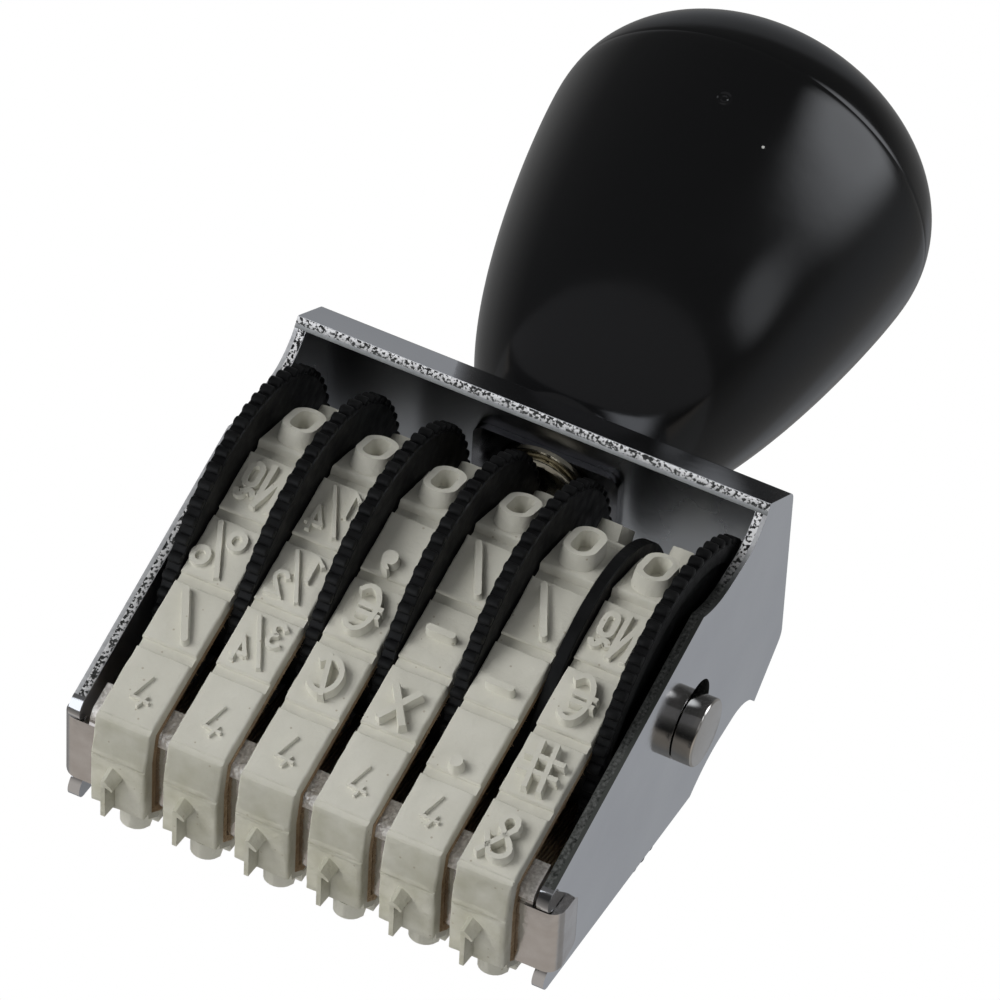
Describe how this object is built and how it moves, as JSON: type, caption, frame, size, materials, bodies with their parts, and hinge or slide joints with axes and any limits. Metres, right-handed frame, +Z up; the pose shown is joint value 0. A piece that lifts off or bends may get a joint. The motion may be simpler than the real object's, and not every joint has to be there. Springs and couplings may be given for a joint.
{
  "type": "roller number stamp",
  "caption": "Hand stamp with a black pear-shaped knob on a plated sheet frame that holds knurled wheels and rubber type bands over a nose bar.",
  "frame": {"origin": "on the type faces under the nose, at the middle of the stamp", "axes": "+X along the wheel axle, -Y the front with the signs, +Z up towards the knob"},
  "size_m": [0.049, 0.0362, 0.0992],
  "materials": {
    "frame_plate": "bright plated sheet steel with sheared edges",
    "handle_black": "polished black moulded plastic",
    "insert_brass": "turned",
    "fastener_steel": "zinc plated",
    "axle_nickel": "nickel plated, turned",
    "nose_nickel": "nickel plated sheet",
    "wheel_black": "black moulded plastic",
    "type_rubber": "matt warm grey rubber",
    "liner_tape": "brown woven tape"
  },
  "bodies": {
    "stamp": {"frame": "frame_plate", "handle": "handle_black", "handle_insert": "insert_brass", "handle_screw": "fastener_steel", "screw_washer": "fastener_steel", "backing_plate": "fastener_steel", "axle": "axle_nickel", "nose_bar": "nose_nickel", "type_band_1": "type_rubber", "type_band_2": "type_rubber", "type_band_3": "type_rubber", "type_band_4": "type_rubber", "type_band_5": "type_rubber", "type_band_6": "type_rubber", "band_liner_1": "liner_tape", "band_liner_2": "liner_tape", "band_liner_3": "liner_tape", "band_liner_4": "liner_tape", "band_liner_5": "liner_tape", "band_liner_6": "liner_tape"},
    "wheel_1": {"wheel_1": "wheel_black"},
    "wheel_2": {"wheel_2": "wheel_black"},
    "wheel_3": {"wheel_3": "wheel_black"},
    "wheel_4": {"wheel_4": "wheel_black"},
    "wheel_5": {"wheel_5": "wheel_black"},
    "wheel_6": {"wheel_6": "wheel_black"}
  },
  "joints": [
    {"name": "wheel_1_turn", "type": "hinge", "parent": "stamp", "child": "wheel_1", "pos_m": [-0.01755, 0, 0.0302], "axis": [1, 0, 0], "continuous": true},
    {"name": "wheel_2_turn", "type": "hinge", "parent": "stamp", "child": "wheel_2", "pos_m": [-0.01075, 0, 0.0302], "axis": [1, 0, 0], "continuous": true},
    {"name": "wheel_3_turn", "type": "hinge", "parent": "stamp", "child": "wheel_3", "pos_m": [-0.00395, 0, 0.0302], "axis": [1, 0, 0], "continuous": true},
    {"name": "wheel_4_turn", "type": "hinge", "parent": "stamp", "child": "wheel_4", "pos_m": [0.00285, 0, 0.0302], "axis": [1, 0, 0], "continuous": true},
    {"name": "wheel_5_turn", "type": "hinge", "parent": "stamp", "child": "wheel_5", "pos_m": [0.00965, 0, 0.0302], "axis": [1, 0, 0], "continuous": true},
    {"name": "wheel_6_turn", "type": "hinge", "parent": "stamp", "child": "wheel_6", "pos_m": [0.017, 0, 0.0302], "axis": [1, 0, 0], "continuous": true}
  ]
}
